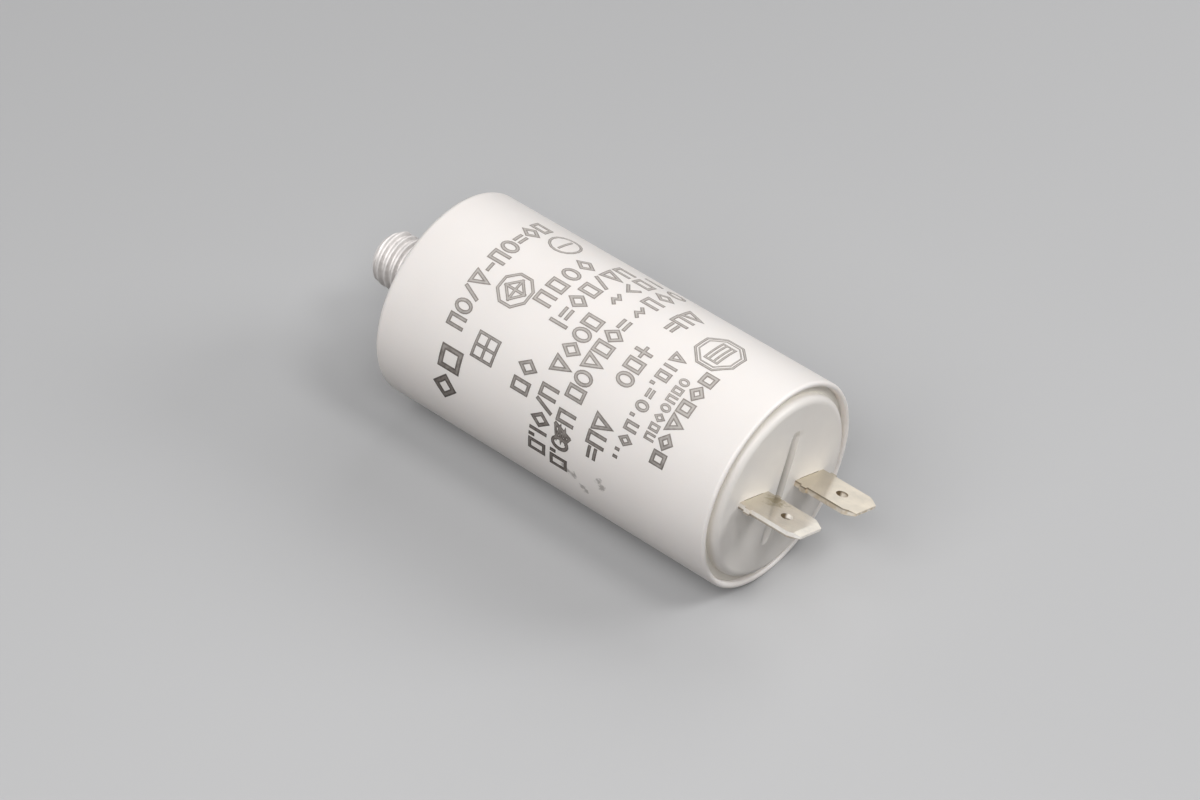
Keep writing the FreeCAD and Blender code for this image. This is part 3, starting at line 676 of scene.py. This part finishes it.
def add_stroke(mesh_parts, points, closed, width, height):
    """A low ridge along a stroke, four vertices to each of its points: two on top and two below.

    The points are millimetres along the row and up towards the lid.
    """
    vertices, faces = mesh_parts
    points = fine_points(points, closed)
    left, right = stroke_edges(points, closed, width)
    first = len(vertices)
    for one, other in zip(left, right):
        for along, x, level in ((*one, height), (*other, height), (*other, -INK_ROOT), (*one, -INK_ROOT)):
            vertices.append(on_side(x, along, level))
    count = len(points)
    for index in range(count if closed else count - 1):
        low = first + 4 * index
        high = first + 4 * ((index + 1) % count)
        for corner in range(4):
            after = (corner + 1) % 4
            faces.append((low + corner, high + corner, high + after, low + after))
    if not closed:
        last = first + 4 * (count - 1)
        faces.append((first, first + 1, first + 2, first + 3))
        faces.append((last + 3, last + 2, last + 1, last))


def add_mark(layers, x, angle, height, width, share, strokes):
    """One mark, its middle at X and the angle; its strokes get a dark edge and a paler fill."""
    across = height * share
    middle = round_from_top(angle)
    for closed, points in strokes:
        placed = [(middle + (u - 0.5) * across, x + (v - 0.5) * height) for u, v in points]
        add_stroke(layers[0], placed, closed, width, EDGE_HEIGHT)
        add_stroke(layers[1], placed, closed, width * FILL_SHARE, FILL_HEIGHT)


def add_row(layers, row, width, stretch=1.0):
    """A row of marks with even gaps from the middle of its first to the middle of its last."""
    first_x, first_angle, last_x, last_angle, height, shapes = row
    shares = [SHAPES[shape][0] * stretch for shape in shapes]
    length = round_from_top(last_angle - first_angle)
    inner = height * (sum(shares) - (shares[0] + shares[-1]) / 2)
    gap = (length - inner) / (len(shapes) - 1)
    along = 0.0
    for index, shape in enumerate(shapes):
        if index:
            along += height * (shares[index - 1] + shares[index]) / 2 + gap
        share = along / length
        x = first_x + (last_x - first_x) * share
        angle = first_angle + (last_angle - first_angle) * share
        add_mark(layers, x, angle, height, width, shares[index], SHAPES[shape][1])


def make_print():
    """The print on the can's side, as edges and fills of its strokes."""
    layers = (([], []), ([], []))
    for row in PRINT_ROWS:
        height = row[4]
        add_row(layers, row, min(STROKE_WIDTH, STROKE_SHARE * height))
    add_row(layers, BOLD_ROW, BOLD_WIDTH, BOLD_STRETCH)
    for mark in PRINT_MARKS:
        add_mark(layers, *mark)
    edges, fills = layers
    mesh_piece("print_edges", *edges, ink("ink_edge", INK_EDGE_SHADES), "can_plastic", smooth=False)
    mesh_piece("print_fills", *fills, ink("ink_fill", INK_FILL_SHADES), "can_plastic", smooth=False)


def make_floor():
    """A wide flat floor under the can."""
    sides = ((-1, -1), (1, -1), (1, 1), (-1, 1))
    corners = [(x * FLOOR_HALF, y * FLOOR_HALF, FLOOR_LEVEL) for x, y in sides]
    mesh = bpy.data.meshes.new("floor")
    mesh.from_pydata(corners, [], [(0, 1, 2, 3)])
    mesh.materials.append(floor_material())
    floor = bpy.data.objects.new("floor", mesh)
    bpy.context.scene.collection.objects.link(floor)


def aim(thing, direction):
    """Turn a camera or a lamp, which look along their -Z, to a direction."""
    thing.rotation_mode = "QUATERNION"
    thing.rotation_quaternion = direction.to_track_quat("-Z", "Y")


def make_camera():
    """The photograph's viewpoint."""
    level = math.cos(CAMERA_ELEVATION)
    back = Vector((math.sin(CAMERA_AZIMUTH) * level, -math.cos(CAMERA_AZIMUTH) * level,
                   math.sin(CAMERA_ELEVATION)))
    right = Vector((math.cos(CAMERA_AZIMUTH), math.sin(CAMERA_AZIMUTH), 0.0))
    up = back.cross(right)
    data = bpy.data.cameras.new("photo_camera")
    data.lens = CAMERA_LENS
    data.sensor_width = CAMERA_SENSOR
    data.clip_start, data.clip_end = CAMERA_CLIPPING
    camera = bpy.data.objects.new("photo_camera", data)
    centre = CAN_MIDDLE - right * MIDDLE_RIGHT_OF_AIM - up * MIDDLE_ABOVE_AIM
    camera.location = centre + back * CAMERA_DISTANCE
    aim(camera, -back)
    bpy.context.scene.collection.objects.link(camera)
    bpy.context.scene.camera = camera


def area_light(name, location, size, power):
    """A round soft light that faces the middle of the can."""
    data = bpy.data.lights.new(name, "AREA")
    data.shape = "DISK"
    data.size = size
    data.energy = power
    light = bpy.data.objects.new(name, data)
    light.location = location
    aim(light, CAN_MIDDLE - light.location)
    bpy.context.scene.collection.objects.link(light)


def make_world():
    """Even light from all round; the camera and reflections see a paler background."""
    world = bpy.data.worlds.new("studio")
    world.use_nodes = True
    tree = world.node_tree
    tree.nodes.clear()
    lighting = node(tree, "Background", {"Color": WHITE, "Strength": WORLD_LIGHT})
    backdrop = node(tree, "Background", {"Color": WHITE, "Strength": WORLD_SEEN})
    mix = node(tree, "MixShader", {0: seen(tree), 1: lighting.outputs[0], 2: backdrop.outputs[0]})
    node(tree, "OutputWorld", {"Surface": mix.outputs[0]})
    bpy.context.scene.world = world


make_camera()
make_floor()
dress_outside()
dress_inside()
make_stud(metal("stud_metal", STUD_SHADES, roughness=(0.56, 0.64), grain=1.5))
make_print()

make_world()
for light in LIGHTS:
    area_light(*light)

bpy.context.scene.view_settings.view_transform = "Standard"
